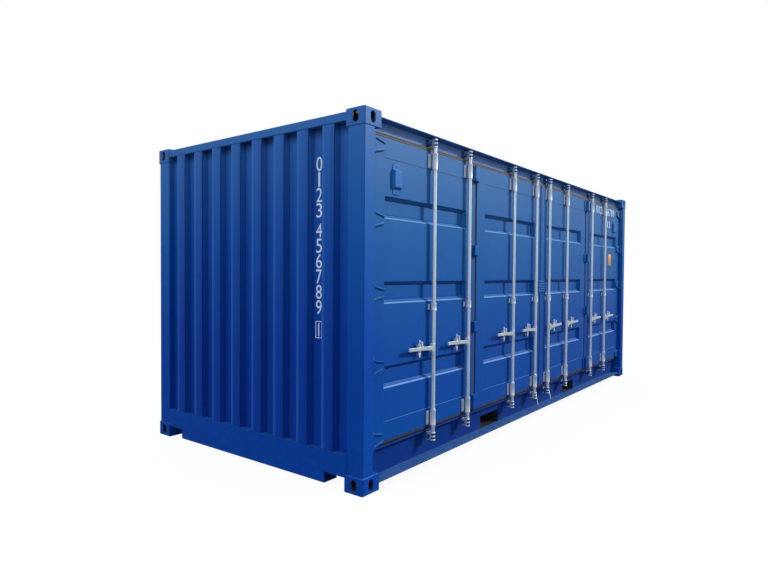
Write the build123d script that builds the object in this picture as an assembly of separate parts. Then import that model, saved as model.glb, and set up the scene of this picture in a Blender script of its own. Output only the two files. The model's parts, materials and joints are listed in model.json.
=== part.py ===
# Shipping container, 20 ft long, with four folding doors along one side.
# Millimetres. +Z is up, X runs along the container, and the doors face -Y.
# The origin is on the ground under the middle of the container.
from build123d import *
import os
from math import acos, asin, cos, degrees, radians, sin, sqrt, tan

# Outside of the container
LENGTH = 6058.0
WIDTH = 2438.0
HEIGHT = 2591.0

# Corner castings
CAST_X = 178.0
CAST_Y = 162.0
CAST_Z = 118.0
CAST_CORNER = 10.0
CAST_EDGE = 5.0
CAST_DECK = 28.5
CAST_WALL = 16.0
CAST_INNER_WALL = 10.0
CAST_DECK_HOLE = (124.5, 63.5)
CAST_SIDE_HOLE = (79.5, 51.0)

# Corner posts, folded plate
POST_X = 114.0
DOOR_POST_Y = 147.0
BACK_POST_Y = 143.0
BACK_POST_INSET = 15.0
POST_INSET = 4.0
POST_WALL = 6.0
POST_CORNER = 7.0

# Sill under the doors
SILL_BOTTOM = 52.0
SILL_TOP = 262.0
SILL_PLATE = 8.0
SILL_WEB_DEPTH = 109.0
SILL_LEDGE = 45.0
SILL_STEP = 19.0
SILL_STEP_WIDTH = 20.0
SILL_FLOOR_FLANGE = 60.0

# Header over the doors
RAIL_DROP = 16.0
HEADER_HEIGHT = 101.0
HEADER_WEB_DEPTH = 84.0
HEADER_WIDTH = 90.0
HEADER_PLATE = 6.0
HEADER_LIP_DEPTH = 7.0
HEADER_LIP_DROP = 22.0

# Rails round the closed sides
TOP_TUBE = 62.0
TOP_TUBE_Y = 60.0
TOP_TUBE_WALL = 4.0
TOP_TUBE_CORNER = 4.0
BACK_RAIL_PLATE = 6.0
BACK_RAIL_INSET = 19.0
BACK_RAIL_FLANGE = 60.0
END_SILL_BOTTOM = 20.0
END_SILL_TOP = 253.0
END_SILL_PLATE = 8.0
END_SILL_DEPTH = 130.0
NOTCH_TOP = 97.0
NOTCH_Y = 865.0

# Pressed sheets
END_SHEET = 2.0
END_PITCH = 252.0
END_RIB = 110.0
END_SLOPE = 18.0
END_DEPTH = 45.0
END_WALL_INSET = 8.0
BACK_SHEET = 2.0
BACK_PITCH = 278.0
BACK_RIB = 72.0
BACK_SLOPE = 34.0
BACK_DEPTH = 36.0
ROOF_SHEET = 2.0
ROOF_PITCH = 209.0
ROOF_PAN = 104.0
ROOF_PAN_SLOPE = 14.0
ROOF_PAN_MARGIN = 10.0
ROOF_DEPTH = 18.0
ROOF_LAP = 40.0

# Floor
FLOOR_BOARD = 28.0
MEMBER_WIDTH = 45.0
MEMBER_DEPTH = 122.0
MEMBER_PLATE = 5.0
MEMBER_PITCH = 296.0

# Fork pockets
POCKET_CENTRE = 1025.0
POCKET_WIDTH = 360.0
POCKET_TOP = 178.0
POCKET_PLATE = 5.0

# Door leaves
DOOR_DEPTH = 53.0
LEAF_THICK = 56.0
LEAF_FOOT_GAP = 40.0
LEAF_HEAD_GAP = 36.0
POST_GAP = 20.0
FOLD_GAP = 44.0
FOLD_OFFSET = 17.0
CENTRE_GAP = 24.0
STILE = 146.0
RAIL_BAND = 137.0
LEAF_TUBE_WALL = 3.0
LEAF_SHEET = 2.0
PAN_COUNT = 3
PAN_PITCH = 600.0
PAN_CENTRE_DROP = 16.0
PAN_HEIGHT = 156.0
PAN_SLOPE = 29.0
PAN_DEPTH = 33.0
PAN_EDGE = 3.0

# Door seals
SEAL_INSET = 8.0
SEAL_BACK = 4.0
SEAL_FRONT = 2.0
SEAL_HEAD_HEIGHT = 26.0

# Hinges at the posts
POST_HINGE_COUNT = 5
POST_HINGE_RISE = 31.0
POST_HINGE_DROP = 65.0
HINGE_HEIGHT = 108.0
HINGE_TIP_HEIGHT = 56.0
HINGE_BLADE = 150.0
HINGE_PLATE = 10.0
HINGE_PIN_DEPTH = 24.0
KNUCKLE_R = 14.0
LUG_HEIGHT = 13.0
RIB_HEIGHT = 8.0
RIB_WIDTH = 11.0

# Hinges at the folds. A block on the outer leaf holds the pin.
FOLD_HINGE_COUNT = 4
FOLD_HINGE_RISE = 66.0
FOLD_HINGE_DROP = 77.0
FOLD_HINGE_TALL = 125.0
FOLD_HINGE_SHORT = 88.0
FOLD_BLOCK = (-62.0, -10.0)
FOLD_BLOCK_DEPTH = 35.0
FOLD_BLADE = 50.0
FOLD_PIN_R = 13.0
FOLD_PIN_RISE = 8.0

# Lock rods, by their distance from the edges of the leaves
ROD_FROM_POST = 744.0
ROD_BEFORE_FOLD = 142.0
ROD_AFTER_FOLD = 694.0
ROD_FROM_CENTRE = 164.0
ROD_DEPTH = 21.5
ROD_R = 15.5
ROD_FIT = 0.3

# Cams on the rods, and the keepers that they catch behind
CAM_OVER_HEADER_FOOT = 26.0
CAM_UNDER_SILL_TOP = 47.0
CAM_HEIGHT = 62.0
CAM_PLATE = 14.0
CAM_SPINE = 18.0
CAM_HOOK_R = 53.0
CAM_HOOK_INNER = 43.5
CAM_SHANK = (-17.0, 5.0)
CAM_HOOK_END = 35.0
KEEPER_BAR = (13.0, 26.0)
KEEPER_BAR_V = (19.0, 28.0)
KEEPER_TONGUE = (-38.0, 30.0)
KEEPER_TONGUE_FRONT = 24.0
KEEPER_TONGUE_HEIGHT = 24.0
KEEPER_PLATE = 4.0
KEEPER_HALF = 42.0
KEEPER_HEIGHT = 64.0

# Rod bearings on the leaves
BEARING_R = 21.0
BEARING_HEIGHT = 124.0
BEARING_FOOT_RISE = 63.0
BEARING_HEAD_DROP = 76.0
BEARING_FLANGE = 50.0
BEARING_FLANGE_MARGIN = 8.0
BEARING_PLATE = 6.0
SADDLE_HALF = 13.0
GUIDE_RISE = 930.0
GUIDE_HEIGHT = 58.0
GUIDE_FLANGE = 36.0
GUIDE_R = 20.0

# Handles and their retainers
HUB_RISE = 613.0
HUB_HEIGHT = 66.0
HUB_REACH = 44.0
HUB_DEPTH = 24.0
HUB_SLOT = 4.0
HUB_SLOT_INSET = 3.0
HANDLE_LENGTH = 350.0
HANDLE_BEND = 158.0
HANDLE_RISE = 12.0
HANDLE_HALF = 16.0
GRIP_HALF = 12.0
HANDLE_FRONT = 2.0
HANDLE_THICK = 12.0
SEAL_ARM_Z = 51.0
SEAL_ARM_WIDTH = 18.0
SEAL_EYE_R = 13.0
SEAL_HOLE_R = 5.5
RETAINER_X = 183.0
RETAINER_WIDTH = 40.0
RETAINER_HEIGHT = 136.0
RETAINER_RISE = 6.0
RETAINER_STAND = 24.0
RETAINER_PLATE = 5.0
RETAINER_TIP = 6.0
RETAINER_WEB = 8.0
RETAINER_WEBS = ((-52.0, -40.0), (2.0, 28.0))
RETAINER_HOLE_DROP = 23.0
RETAINER_HOLE_R = 6.5

# Vents, and the plate over the middle gap
VENT_FROM_POST = 280.0
VENT_DROP = 276.0
VENT_WIDTH = 96.0
VENT_HEIGHT = 150.0
VENT_DEPTH = 26.0
VENT_SIDE_SLOPE = 7.0
VENT_END_SLOPE = 18.0
VENT_TAB = 34.0
VENT_TAB_PLATE = 4.0
VENT_TAB_INSET = 10.0
OVERLAP_X = 32.0
OVERLAP_DROP = 10.0
OVERLAP_WIDTH = 178.0
OVERLAP_HEIGHT = 129.0
OVERLAP_PLATE = 6.0
OVERLAP_RIBS = 5
OVERLAP_RIB = 9.0
OVERLAP_RIB_PITCH = 26.0
OVERLAP_RIB_DEPTH = 4.0

# Small rounds are drawn with few sides
ROD_SIDES = 16
SIDES = 8
HOLE_SIDES = 6
CURVE_STEPS = 3

# Places worked out from the sizes above
HALF_L = LENGTH / 2
HALF_W = WIDTH / 2
CAST_FACE_X = HALF_L - CAST_X
CAST_FACE_Y = HALF_W - CAST_Y
POST_OUT_X = HALF_L - POST_INSET
POST_IN_X = POST_OUT_X - POST_X
DOOR_POST_IN = -(HALF_W - POST_INSET - DOOR_POST_Y)
BACK_POST_OUT = HALF_W - BACK_POST_INSET
BACK_POST_IN = BACK_POST_OUT - BACK_POST_Y
RAIL_TOP = HEIGHT - RAIL_DROP
HEADER_BOTTOM = RAIL_TOP - HEADER_HEIGHT
SILL_WEB = -HALF_W + SILL_WEB_DEPTH
HEADER_WEB = -HALF_W + HEADER_WEB_DEPTH
HEADER_BACK = HEADER_WEB + HEADER_WIDTH
DOOR_FACE = -HALF_W + DOOR_DEPTH
DOOR_BACK = DOOR_FACE + LEAF_THICK
LEAF_BOTTOM = SILL_TOP + LEAF_FOOT_GAP
LEAF_TOP = HEADER_BOTTOM - LEAF_HEAD_GAP
FOLD_X = FOLD_OFFSET - (POST_IN_X - POST_GAP + CENTRE_GAP / 2) / 2
OUTER_LEAF = (-POST_IN_X + POST_GAP, FOLD_X - FOLD_GAP / 2)
INNER_LEAF = (FOLD_X + FOLD_GAP / 2, -CENTRE_GAP / 2)
ROD_Y = -HALF_W + ROD_DEPTH
UPPER_CAM = HEADER_BOTTOM + CAM_OVER_HEADER_FOOT
LOWER_CAM = SILL_TOP - CAM_UNDER_SILL_TOP
HUB_Z = LEAF_BOTTOM + HUB_RISE
RETAINER_Z = HUB_Z + RETAINER_RISE
BACK_RAIL_OUT = HALF_W - BACK_RAIL_INSET
TOP_TUBE_BOTTOM = RAIL_TOP - TOP_TUBE
BACK_TUBE_IN = BACK_RAIL_OUT - TOP_TUBE_Y
END_WALL_OUT = -HALF_L + END_WALL_INSET
END_TUBE_IN = -POST_OUT_X + TOP_TUBE_Y
END_SILL_IN = -POST_OUT_X + END_SILL_DEPTH
FLOOR_TOP = SILL_TOP
FLOOR_UNDER = FLOOR_TOP - FLOOR_BOARD
FLOOR_FRONT = SILL_WEB + SILL_FLOOR_FLANGE
BACK_WEB_IN = BACK_RAIL_OUT - BACK_RAIL_PLATE
FLOOR_BACK = BACK_RAIL_OUT - BACK_RAIL_FLANGE


def block(x, y, z):
    """A box between two places on each axis."""
    size = [abs(b - a) for a, b in (x, y, z)]
    middle = [(a + b) / 2 for a, b in (x, y, z)]
    return Pos(*middle) * Box(*size)


def about(middle, size):
    """The two ends of a size about its middle."""
    return (middle - size / 2, middle + size / 2)


def outline(points):
    """A flat face through the points, in the XY plane."""
    return make_face(Polyline(*points, close=True))


def arc(centre, radius, start, end):
    """Points along an arc between two angles in degrees."""
    angles = [radians(start + (end - start) * i / CURVE_STEPS) for i in range(CURVE_STEPS + 1)]
    return [(centre[0] + radius * cos(a), centre[1] + radius * sin(a)) for a in angles]


def along_x(face_points, start, end):
    """A section of (y, z) points run along X."""
    plane = Plane(origin=(start, 0, 0), x_dir=(0, 1, 0), z_dir=(1, 0, 0))
    return extrude(plane * outline(face_points), amount=end - start)


def along_y(face, start, end):
    """A flat shape in X and Z, run along Y."""
    plane = Plane(origin=(0, end, 0), x_dir=(1, 0, 0), z_dir=(0, -1, 0))
    return extrude(plane * face, amount=end - start)


def standing(face, low, high):
    """A flat shape in the XY plane, run upwards."""
    return extrude(Pos(0, 0, low) * face, amount=high - low)


def flip_x(shape):
    """The same shape at the other end."""
    return mirror(shape, about=Plane.YZ)


def flip_y(shape):
    """The same shape on the other side."""
    return mirror(shape, about=Plane.XZ)


def round_bar(radius, sides=SIDES):
    """A small round section, drawn with few sides inside its circle."""
    return RegularPolygon(radius, sides, rotation=180 / sides)


def round_bore(radius):
    """A bore drawn with few sides outside its circle, so a round bar turns in it."""
    return RegularPolygon(radius, SIDES, major_radius=False, rotation=180 / SIDES)


def small_hole(radius):
    """A small round hole, drawn with few sides."""
    return RegularPolygon(radius, HOLE_SIDES)


def tube(width, depth, wall, corner):
    """The section of a folded box, with its outer corners taken off."""
    outer = chamfer(Rectangle(width, depth).vertices(), corner)
    return outer - Rectangle(width - 2 * wall, depth - 2 * wall)


def many(shapes):
    """Several separate solids kept in one file."""
    return Compound(children=[s for shape in shapes for s in shape.solids()])


def how_many(span, pitch, size):
    """How many pieces of a size fit in a span at a pitch."""
    return int((span - size) // pitch) + 1


def spaced(count, pitch):
    """Places at a pitch, even about 0."""
    return [(i - (count - 1) / 2) * pitch for i in range(count)]


def slot_hole(size):
    """A long hole along X, its round ends drawn with the sides of an octagon."""
    cut = size[1] / 2 * (1 - tan(radians(22.5)))
    return chamfer(Rectangle(*size).vertices(), cut)


def top_casting():
    """The hollow casting at the top corner at +X, +Y."""
    x = (CAST_FACE_X, HALF_L)
    y = (CAST_FACE_Y, HALF_W)
    body = block(x, y, (HEIGHT - CAST_Z, HEIGHT))
    upright = body.edges().filter_by(Axis.Z).sort_by(lambda e: e.center().X + e.center().Y)[-1]
    body = chamfer(upright, CAST_CORNER)
    rim = body.faces().sort_by(Axis.Z)[-1].edges()
    outer = [e for e in rim if e.center().X > HALF_L - CAST_CORNER or e.center().Y > HALF_W - CAST_CORNER]
    body = chamfer(outer, CAST_EDGE)
    body -= block(
        (x[0] + CAST_INNER_WALL, x[1] - CAST_WALL),
        (y[0] + CAST_INNER_WALL, y[1] - CAST_WALL),
        (HEIGHT - CAST_Z + CAST_INNER_WALL, HEIGHT - CAST_DECK),
    )
    middle_x = HALF_L - CAST_X / 2
    middle_y = HALF_W - CAST_Y / 2
    middle_z = HEIGHT - CAST_Z / 2
    body -= standing(Pos(middle_x, middle_y) * slot_hole(CAST_DECK_HOLE), middle_z, HEIGHT)
    hole = Rot(0, 0, 90) * slot_hole(CAST_SIDE_HOLE)
    end_plane = Plane(origin=(HALF_L, middle_y, middle_z), x_dir=(0, 1, 0), z_dir=(-1, 0, 0))
    side_plane = Plane(origin=(middle_x, HALF_W, middle_z), x_dir=(1, 0, 0), z_dir=(0, -1, 0))
    body -= extrude(end_plane * hole, amount=CAST_X / 2)
    body -= extrude(side_plane * hole, amount=CAST_Y / 2)
    return body


def four_corners(shape):
    """One shape at all four corners."""
    pair = [shape, flip_x(shape)]
    return pair + [flip_y(s) for s in pair]


def corner_castings():
    """The eight castings, as a top set and a bottom set."""
    top = top_casting()
    bottom = mirror(top, about=Plane.XY.offset(HEIGHT / 2))
    return many(four_corners(top)), many(four_corners(bottom))


def corner_post(depth, y_middle):
    """One hollow post at the left end, between its castings."""
    section = Pos(-POST_OUT_X + POST_X / 2, y_middle) * tube(POST_X, depth, POST_WALL, POST_CORNER)
    return standing(section, CAST_Z, HEIGHT - CAST_Z)


def pocket_holes(y):
    """The two fork openings, as solids to cut with."""
    hole = block(about(POCKET_CENTRE, POCKET_WIDTH), y, (SILL_BOTTOM + SILL_PLATE, POCKET_TOP))
    return [hole, flip_x(hole)]


def door_sill():
    """Web with a foot outwards, a floor flange, short ends on the castings and a bar under the seal."""
    web_in = SILL_WEB + SILL_PLATE
    ledge = SILL_WEB - SILL_LEDGE
    section = [
        (-HALF_W, SILL_BOTTOM),
        (web_in, SILL_BOTTOM),
        (web_in, SILL_TOP - SILL_PLATE),
        (FLOOR_FRONT, SILL_TOP - SILL_PLATE),
        (FLOOR_FRONT, SILL_TOP),
        (ledge, SILL_TOP),
        (ledge, SILL_TOP - SILL_PLATE),
        (SILL_WEB, SILL_TOP - SILL_PLATE),
        (SILL_WEB, SILL_BOTTOM + SILL_PLATE),
        (-HALF_W, SILL_BOTTOM + SILL_PLATE),
    ]
    body = along_x(section, -CAST_FACE_X, CAST_FACE_X)
    for hole in pocket_holes((SILL_WEB, web_in)):
        body -= hole
    end = along_x(section, CAST_FACE_X, POST_IN_X)
    end -= block((CAST_FACE_X, HALF_L), (-HALF_W, 0), (0, CAST_Z))
    step = block((-POST_IN_X, POST_IN_X), (ledge, ledge + SILL_STEP_WIDTH), (SILL_TOP, SILL_TOP + SILL_STEP))
    return many([body, end, flip_x(end), step])


def back_bottom_rail():
    """A channel under the closed side."""
    section = [
        (BACK_RAIL_OUT, SILL_BOTTOM),
        (BACK_RAIL_OUT, SILL_TOP),
        (FLOOR_BACK, SILL_TOP),
        (FLOOR_BACK, SILL_TOP - BACK_RAIL_PLATE),
        (BACK_WEB_IN, SILL_TOP - BACK_RAIL_PLATE),
        (BACK_WEB_IN, SILL_BOTTOM + SILL_PLATE),
        (FLOOR_BACK, SILL_BOTTOM + SILL_PLATE),
        (FLOOR_BACK, SILL_BOTTOM),
    ]
    body = along_x(section, -POST_IN_X, POST_IN_X)
    for side in (-1, 1):
        body -= block((side * CAST_FACE_X, side * HALF_L), (0, HALF_W), (0, CAST_Z))
    for hole in pocket_holes((BACK_WEB_IN, BACK_RAIL_OUT)):
        body -= hole
    return body


def end_sill():
    """Deep box under the left end wall, notched beside the castings."""
    plate = END_SILL_PLATE
    y = (DOOR_POST_IN, BACK_POST_IN)
    body = block((-POST_OUT_X, END_SILL_IN), y, (END_SILL_BOTTOM, END_SILL_TOP))
    body -= block(
        (-POST_OUT_X + plate, END_SILL_IN - plate), y, (END_SILL_BOTTOM + plate, END_SILL_TOP - plate)
    )
    for side in (-1, 1):
        body -= block((-HALF_L, 0), (side * CAST_FACE_Y, side * HALF_W), (0, CAST_Z))
        body -= block((-HALF_L, 0), (side * NOTCH_Y, side * HALF_W), (0, NOTCH_TOP))
    return body


def door_header():
    """Box beam over the doors with a lip that throws off rain."""
    x = (-CAST_FACE_X, CAST_FACE_X)
    plate = HEADER_PLATE
    lip_top = RAIL_TOP - HEADER_LIP_DROP
    body = block(x, (HEADER_WEB, HEADER_BACK), (HEADER_BOTTOM, RAIL_TOP))
    body -= block(x, (HEADER_WEB + plate, HEADER_BACK - plate), (HEADER_BOTTOM + plate, RAIL_TOP - plate))
    return body + block(x, (-HALF_W + HEADER_LIP_DEPTH, HEADER_WEB), (lip_top - plate, lip_top))


def back_top_rail():
    """Square tube over the closed side."""
    middle_y = BACK_RAIL_OUT - TOP_TUBE_Y / 2
    middle_z = RAIL_TOP - TOP_TUBE / 2
    plane = Plane(origin=(-CAST_FACE_X, middle_y, middle_z), x_dir=(0, 1, 0), z_dir=(1, 0, 0))
    section = tube(TOP_TUBE_Y, TOP_TUBE, TOP_TUBE_WALL, TOP_TUBE_CORNER)
    return extrude(plane * section, amount=2 * CAST_FACE_X)


def end_header():
    """Square tube over the left end wall."""
    middle_x = -POST_OUT_X + TOP_TUBE_Y / 2
    middle_z = RAIL_TOP - TOP_TUBE / 2
    plane = Plane(origin=(middle_x, CAST_FACE_Y, middle_z), x_dir=(1, 0, 0), z_dir=(0, -1, 0))
    section = tube(TOP_TUBE_Y, TOP_TUBE, TOP_TUBE_WALL, TOP_TUBE_CORNER)
    return extrude(plane * section, amount=2 * CAST_FACE_Y)


def ribbed_sheet(low, high, pitch, rib, slope, depth, sheet):
    """Section of a folded sheet. Ribs stand out at 0 and the valleys lie at depth."""
    line = [(low, depth)]
    middle = (low + high) / 2
    for place in spaced(how_many(high - low, pitch, rib + 2 * slope), pitch):
        start, end = about(middle + place, rib)
        line += [(start - slope, depth), (start, 0), (end, 0), (end + slope, depth)]
    line.append((high, depth))
    back = [(s, d + sheet) for s, d in reversed(line)]
    return line + back


def end_wall():
    """Corrugated sheet of the left end."""
    points = ribbed_sheet(DOOR_POST_IN, BACK_POST_IN, END_PITCH, END_RIB, END_SLOPE, END_DEPTH, END_SHEET)
    face = outline([(END_WALL_OUT + d, s) for s, d in points])
    body = standing(face, END_SILL_TOP, TOP_TUBE_BOTTOM)
    for side in (-1, 1):
        y = (side * CAST_FACE_Y, side * HALF_W)
        body -= block((-HALF_L, -CAST_FACE_X), y, (HEIGHT - CAST_Z, HEIGHT))
    return body


def back_wall():
    """Corrugated sheet of the closed long side."""
    points = ribbed_sheet(-POST_IN_X, POST_IN_X, BACK_PITCH, BACK_RIB, BACK_SLOPE, BACK_DEPTH, BACK_SHEET)
    face = outline([(s, BACK_RAIL_OUT - d) for s, d in points])
    body = standing(face, SILL_TOP, TOP_TUBE_BOTTOM)
    for side in (-1, 1):
        x = (side * CAST_FACE_X, side * HALF_L)
        body -= block(x, (CAST_FACE_Y, HALF_W), (HEIGHT - CAST_Z, HEIGHT))
    return body


def tapered_pan(x, y, slopes, depth):
    """A rectangular pan, wide at the top (Z = 0) and narrower at its floor."""
    slope_x, slope_y = slopes
    plane_x = Plane(origin=(0, y[1], 0), x_dir=(1, 0, 0), z_dir=(0, -1, 0))
    plane_y = Plane(origin=(x[0], 0, 0), x_dir=(0, 1, 0), z_dir=(1, 0, 0))
    wide = outline([(x[0], 0), (x[1], 0), (x[1] - slope_x, -depth), (x[0] + slope_x, -depth)])
    deep = outline([(y[0], 0), (y[1], 0), (y[1] - slope_y, -depth), (y[0] + slope_y, -depth)])
    return extrude(plane_x * wide, amount=y[1] - y[0]) & extrude(plane_y * deep, amount=x[1] - x[0])


def pressed_sheet(x, y, sheet, pans, slope, depth):
    """A flat sheet whose top is at Z = 0, with pans pressed down into it."""
    wall = sheet * sqrt(1 + (slope / depth) ** 2) - sheet * slope / depth
    over = slope * (1 + sheet / depth)
    outer = []
    inner = []
    for pan_x, pan_y in pans:
        wide_x = (pan_x[0] - wall, pan_x[1] + wall)
        wide_y = (pan_y[0] - wall, pan_y[1] + wall)
        outer.append(tapered_pan(wide_x, wide_y, (over, over), depth + sheet))
        inner.append(tapered_pan(pan_x, pan_y, (slope, slope), depth))
    return block(x, y, (-sheet, 0)) + outer - inner


def roof_panel():
    """Die-pressed roof, lying on the four top rails."""
    x_edge = -END_TUBE_IN + ROOF_LAP
    y = (HEADER_BACK - ROOF_LAP, BACK_TUBE_IN + ROOF_LAP)
    pan_y = (HEADER_BACK + ROOF_PAN_MARGIN, BACK_TUBE_IN - ROOF_PAN_MARGIN)
    count = how_many(2 * CAST_FACE_X, ROOF_PITCH, ROOF_PAN)
    pans = [(about(place, ROOF_PAN), pan_y) for place in spaced(count, ROOF_PITCH)]
    body = pressed_sheet((-x_edge, x_edge), y, ROOF_SHEET, pans, ROOF_PAN_SLOPE, ROOF_DEPTH)
    body = Pos(0, 0, RAIL_TOP + ROOF_SHEET) * body
    for corner in four_corners(block((CAST_FACE_X, HALF_L), (CAST_FACE_Y, HALF_W), (RAIL_TOP, HEIGHT))):
        body -= corner
    return body


def floor_boards():
    """Plywood floor between the flanges and the end sills."""
    return block((END_SILL_IN, -END_SILL_IN), (FLOOR_FRONT, FLOOR_BACK), (FLOOR_UNDER, FLOOR_TOP))


def member_places():
    """Where cross members fit clear of the fork pockets."""
    count = how_many(-2 * END_SILL_IN, MEMBER_PITCH, MEMBER_WIDTH)
    reach = POCKET_WIDTH / 2 + POCKET_PLATE + MEMBER_WIDTH
    return [x for x in spaced(count, MEMBER_PITCH) if abs(abs(x) - POCKET_CENTRE) > reach]


def cross_members():
    """Steel channels that carry the floor from sill to sill."""
    under = FLOOR_UNDER - MEMBER_DEPTH
    section = [
        (0, under),
        (MEMBER_WIDTH, under),
        (MEMBER_WIDTH, under + MEMBER_PLATE),
        (MEMBER_PLATE, under + MEMBER_PLATE),
        (MEMBER_PLATE, FLOOR_UNDER - MEMBER_PLATE),
        (MEMBER_WIDTH, FLOOR_UNDER - MEMBER_PLATE),
        (MEMBER_WIDTH, FLOOR_UNDER),
        (0, FLOOR_UNDER),
    ]
    member = along_y(outline(section), SILL_WEB + SILL_PLATE, BACK_WEB_IN)
    return many([Pos(x - MEMBER_WIDTH / 2, 0, 0) * member for x in member_places()])


def fork_pockets():
    """Two closed steel tunnels for a fork lift, open at both sides."""
    half = POCKET_WIDTH / 2
    out = half + POCKET_PLATE
    low = SILL_BOTTOM + SILL_PLATE
    section = [
        (-out, low),
        (-out, FLOOR_UNDER),
        (-half, FLOOR_UNDER),
        (-half, POCKET_TOP + POCKET_PLATE),
        (half, POCKET_TOP + POCKET_PLATE),
        (half, FLOOR_UNDER),
        (out, FLOOR_UNDER),
        (out, low),
        (half, low),
        (half, POCKET_TOP),
        (-half, POCKET_TOP),
        (-half, low),
    ]
    front = SILL_WEB + SILL_PLATE
    pocket = along_y(outline(section), front, BACK_WEB_IN)
    pocket += block((-out, out), (front, FLOOR_BACK), (low - POCKET_PLATE, low))
    pocket = Pos(POCKET_CENTRE, 0, 0) * pocket
    return many([pocket, flip_x(pocket)])


def pan_heights():
    """Middle heights of the pressed pans in a leaf."""
    middle = (LEAF_BOTTOM + LEAF_TOP) / 2 - PAN_CENTRE_DROP
    return [middle + place for place in spaced(PAN_COUNT, PAN_PITCH)]


def door_leaf(x):
    """Frame of square tube with a pressed sheet welded flush into it."""
    z = (LEAF_BOTTOM, LEAF_TOP)
    inner_x = (x[0] + STILE, x[1] - STILE)
    inner_z = (z[0] + RAIL_BAND, z[1] - RAIL_BAND)
    pan_x = (inner_x[0] + PAN_EDGE, inner_x[1] - PAN_EDGE)
    wall = LEAF_TUBE_WALL
    depth = (DOOR_FACE, DOOR_BACK)
    frame = block(x, depth, z)
    frame -= block(
        (x[0] + wall, x[1] - wall), (DOOR_FACE + wall, DOOR_BACK - wall), (z[0] + wall, z[1] - wall)
    )
    frame += block((inner_x[0] - wall, inner_x[1] + wall), depth, (inner_z[0] - wall, inner_z[1] + wall))
    frame -= block(inner_x, depth, inner_z)
    pans = [(pan_x, about(height, PAN_HEIGHT)) for height in pan_heights()]
    sheet = pressed_sheet(inner_x, inner_z, LEAF_SHEET, pans, PAN_SLOPE, PAN_DEPTH)
    upright = Plane(origin=(0, DOOR_FACE, 0), x_dir=(1, 0, 0), z_dir=(0, -1, 0))
    return frame + upright.location * sheet


def door_seals():
    """Rubber strips that stand between the posts and the leaves."""
    y = (DOOR_FACE + SEAL_INSET, DOOR_BACK - SEAL_BACK)
    z = (LEAF_BOTTOM, LEAF_TOP)
    strips = [block((-POST_IN_X, OUTER_LEAF[0]), y, z), block((OUTER_LEAF[1], INNER_LEAF[0]), y, z)]
    strips += [flip_x(s) for s in strips]
    return many(strips + [block(about(0, CENTRE_GAP), y, z)])


def seal_band(low, high):
    """One long rubber seal under or over the four leaves."""
    reach = POST_IN_X - POST_GAP
    return block((-reach, reach), (DOOR_FACE + SEAL_FRONT, DOOR_BACK - SEAL_BACK), (low, high))


def hinge_heights(count, rise, drop):
    """Even heights for the hinges of one column."""
    low = LEAF_BOTTOM + rise
    return [low + i * (LEAF_TOP - drop - low) / (count - 1) for i in range(count)]


def hinge_blade(root, tip, length):
    """Outline of a blade that narrows from its knuckle to its tip."""
    return outline([(0, -root / 2), (0, root / 2), (length, tip / 2), (length, -tip / 2)])


def post_hinge():
    """One forged hinge at the left post, welded to post and leaf."""
    pin_x = -POST_IN_X + KNUCKLE_R
    pin_y = DOOR_FACE - HINGE_PIN_DEPTH
    plate_y = DOOR_FACE - HINGE_PLATE
    root = HINGE_HEIGHT + LUG_HEIGHT
    blade = hinge_blade(root, HINGE_TIP_HEIGHT, HINGE_BLADE)
    hollow = hinge_blade(root - 2 * RIB_WIDTH, HINGE_TIP_HEIGHT - 2 * RIB_WIDTH, HINGE_BLADE)
    body = along_y(blade, plate_y - RIB_HEIGHT, DOOR_FACE) - along_y(hollow, plate_y - RIB_HEIGHT, plate_y)
    body = Pos(pin_x - KNUCKLE_R / 2, 0, 0) * body
    half = HINGE_HEIGHT / 2
    reach = half + LUG_HEIGHT
    body += standing(Pos(pin_x, pin_y) * round_bar(KNUCKLE_R), -reach, reach)
    for side in (-1, 1):
        body += block((-POST_IN_X, pin_x), about(pin_y, 2 * KNUCKLE_R), (side * half, side * reach))
    return body


def post_hinges():
    """A column of hinges at the left post."""
    one = post_hinge()
    heights = hinge_heights(POST_HINGE_COUNT, POST_HINGE_RISE, POST_HINGE_DROP)
    return many([Pos(0, 0, z) * one for z in heights])


def fold_hinge(height):
    """One hinge of a fold: block and pin on one leaf, blade on the other."""
    half = height / 2
    low, high = FOLD_BLOCK
    body = block((low, high), (-FOLD_BLOCK_DEPTH, 0), (-half, half))
    body += block((high, FOLD_BLADE), (-HINGE_PLATE, 0), (-half, half))
    pin = Pos(high, FOLD_PIN_R - FOLD_BLOCK_DEPTH) * round_bar(FOLD_PIN_R)
    body += standing(pin, -half - FOLD_PIN_RISE, half + FOLD_PIN_RISE)
    return Pos(FOLD_X, DOOR_FACE, 0) * body


def fold_hinges():
    """A column of hinges where the two left leaves fold. The end ones are taller."""
    heights = hinge_heights(FOLD_HINGE_COUNT, FOLD_HINGE_RISE, FOLD_HINGE_DROP)
    tall = fold_hinge(FOLD_HINGE_TALL)
    short = fold_hinge(FOLD_HINGE_SHORT)
    ends = [Pos(0, 0, z) * tall for z in (heights[0], heights[-1])]
    return many(ends + [Pos(0, 0, z) * short for z in heights[1:-1]])


def cam(middle):
    """Two hooks joined by a spine. They catch behind the keeper's bar."""
    low, high = about(middle, CAM_HEIGHT)
    left, right = CAM_SHANK
    points = [(right, 0)]
    points += arc((0, 0), CAM_HOOK_INNER, degrees(acos(right / CAM_HOOK_INNER)), CAM_HOOK_END)
    points += arc((0, 0), CAM_HOOK_R, CAM_HOOK_END, degrees(acos(left / CAM_HOOK_R)))
    points.append((left, 0))
    hook = outline(points)
    body = standing(hook, low, low + CAM_PLATE) + standing(hook, high - CAM_PLATE, high)
    return body + block(CAM_SHANK, (0, CAM_SPINE), (low, high))


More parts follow.
